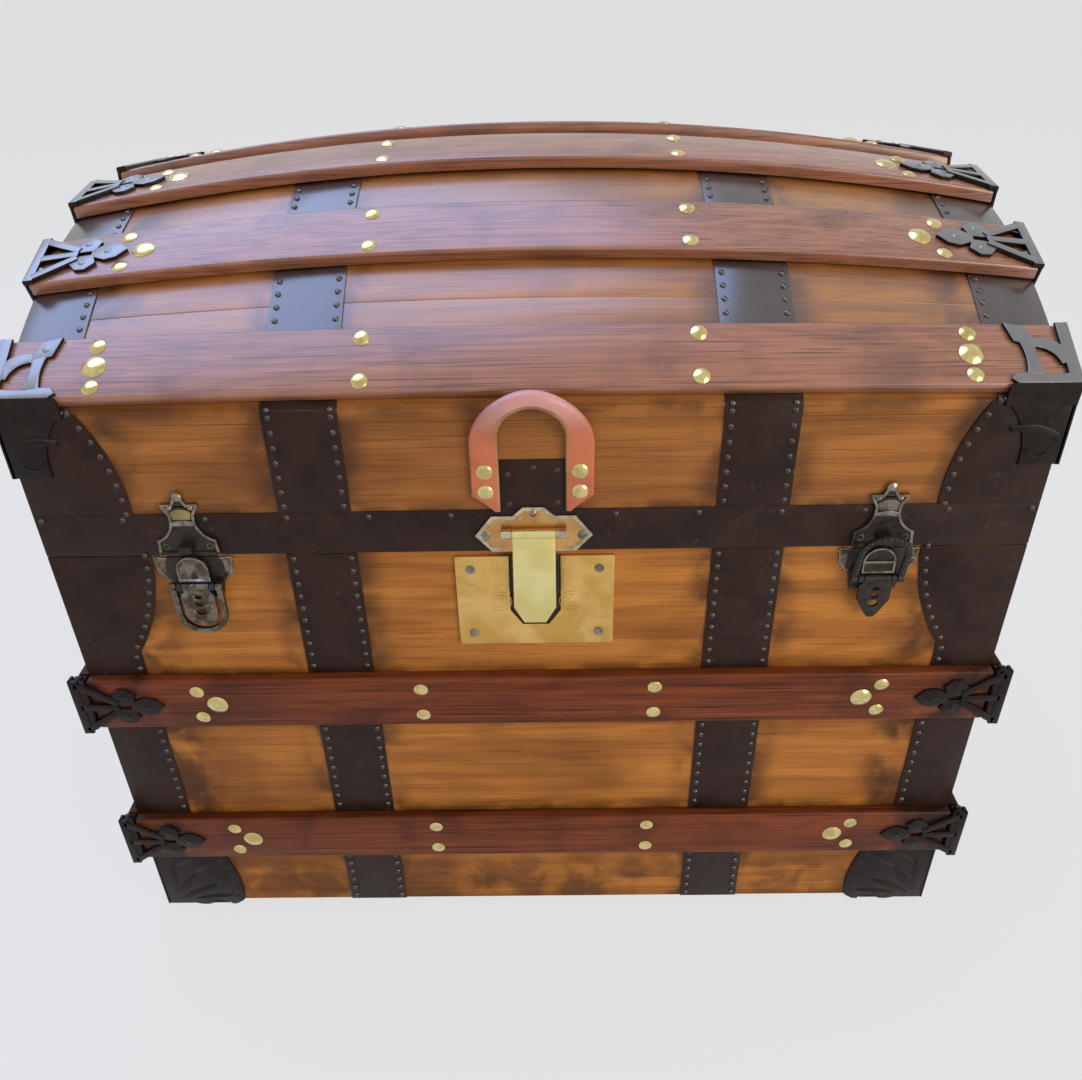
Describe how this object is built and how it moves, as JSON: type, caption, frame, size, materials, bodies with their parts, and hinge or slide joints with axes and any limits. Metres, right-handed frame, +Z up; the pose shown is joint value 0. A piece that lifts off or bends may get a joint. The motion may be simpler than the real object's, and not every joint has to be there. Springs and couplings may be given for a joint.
{
  "type": "dome top trunk",
  "caption": "Pine trunk with a domed, hinged lid, bowed hardwood slats, sheet-metal bindings, cast slat clamps, hasp lock, drawbolt latches and leather handles.",
  "frame": {"origin": "centre of the trunk's footprint, on the floor under its feet", "axes": "+Z up, -Y towards the front with the lock, +X to the right of someone facing the front"},
  "size_m": [0.822, 0.5869, 0.6832],
  "materials": {
    "pine_boards": "oiled honey pine",
    "hardwood_slats": "red-brown varnish",
    "japanned_sheet": "worn japanning",
    "cast_fittings": "black lacquer",
    "brass_nails": "polished",
    "satin_brass": "satin",
    "bronzed_plate": "satin, reddish",
    "aged_steel": "aged, darkened",
    "leather": "new vegetable-tanned hide"
  },
  "bodies": {
    "trunk": {"bottom_board": "pine_boards", "front_board": "pine_boards", "back_board": "pine_boards", "left_end_board": "pine_boards", "right_end_board": "pine_boards", "front_upper_slat": "hardwood_slats", "front_lower_slat": "hardwood_slats", "back_upper_slat": "hardwood_slats", "back_lower_slat": "hardwood_slats", "left_end_slats": "hardwood_slats", "right_end_slats": "hardwood_slats", "body_bands": "japanned_sheet", "body_corner_bindings": "japanned_sheet", "body_slat_clamps": "cast_fittings", "foot_corner_caps": "cast_fittings", "end_handle_caps": "cast_fittings", "body_slat_nails": "brass_nails", "lock_rivets": "brass_nails", "lock_plate": "satin_brass", "left_latch_base": "aged_steel", "right_latch_base": "aged_steel", "latch_pins": "aged_steel", "hinge_body_leaves": "aged_steel", "hinge_pins": "aged_steel", "lock_case": "aged_steel", "left_end_handle": "leather", "right_end_handle": "leather"},
    "lid": {"lid_front_board": "pine_boards", "lid_back_board": "pine_boards", "lid_left_end_board": "pine_boards", "lid_right_end_board": "pine_boards", "dome_panel": "pine_boards", "front_edge_slat": "hardwood_slats", "front_slope_slat": "hardwood_slats", "front_crest_slat": "hardwood_slats", "back_crest_slat": "hardwood_slats", "back_slope_slat": "hardwood_slats", "back_edge_slat": "hardwood_slats", "edge_slat_clamps": "cast_fittings", "dome_slat_clamps": "cast_fittings", "lid_corner_bindings": "japanned_sheet", "lid_bands": "japanned_sheet", "dome_bands": "japanned_sheet", "dome_end_bindings": "japanned_sheet", "lid_valance": "japanned_sheet", "lid_centre_plate": "japanned_sheet", "hasp_plate": "bronzed_plate", "hasp_pin": "satin_brass", "lid_handle": "leather", "lid_handle_tacks": "brass_nails", "latch_catches": "aged_steel", "hinge_lid_leaves": "aged_steel", "dome_slat_nails": "brass_nails"},
    "hasp": {"hasp": "satin_brass"},
    "lock_bolt": {"lock_bolt": "aged_steel"},
    "left_latch_lever": {"left_latch_lever": "aged_steel"},
    "right_latch_lever": {"right_latch_lever": "aged_steel"},
    "left_latch_loop": {"left_latch_loop": "aged_steel"},
    "right_latch_loop": {"right_latch_loop": "aged_steel"}
  },
  "joints": [
    {"name": "lid_hinge", "type": "hinge", "parent": "trunk", "child": "lid", "pos_m": [0, 0.2805, 0.422], "axis": [-1, 0, 0], "range_deg": [0, 100]},
    {"name": "hasp_hinge", "type": "hinge", "parent": "lid", "child": "hasp", "pos_m": [0, -0.2817, 0.441], "axis": [-1, 0, 0], "range_deg": [-11, 139]},
    {"name": "lock_bolt_slide", "type": "slide", "parent": "trunk", "child": "lock_bolt", "axis": [1, 0, 0], "range_m": [0, 0.014]},
    {"name": "left_lever_hinge", "type": "hinge", "parent": "trunk", "child": "left_latch_lever", "pos_m": [-0.266, -0.2825, 0.397], "axis": [-1, 0, 0], "range_deg": [0, 150]},
    {"name": "left_loop_hinge", "type": "hinge", "parent": "trunk", "child": "left_latch_loop", "pos_m": [-0.266, -0.2825, 0.397], "axis": [-1, 0, 0], "range_deg": [0, 180]},
    {"name": "right_lever_hinge", "type": "hinge", "parent": "trunk", "child": "right_latch_lever", "pos_m": [0.266, -0.2825, 0.397], "axis": [-1, 0, 0], "range_deg": [0, 150]},
    {"name": "right_loop_hinge", "type": "hinge", "parent": "trunk", "child": "right_latch_loop", "pos_m": [0.266, -0.2825, 0.397], "axis": [-1, 0, 0], "range_deg": [-168, 12]}
  ]
}
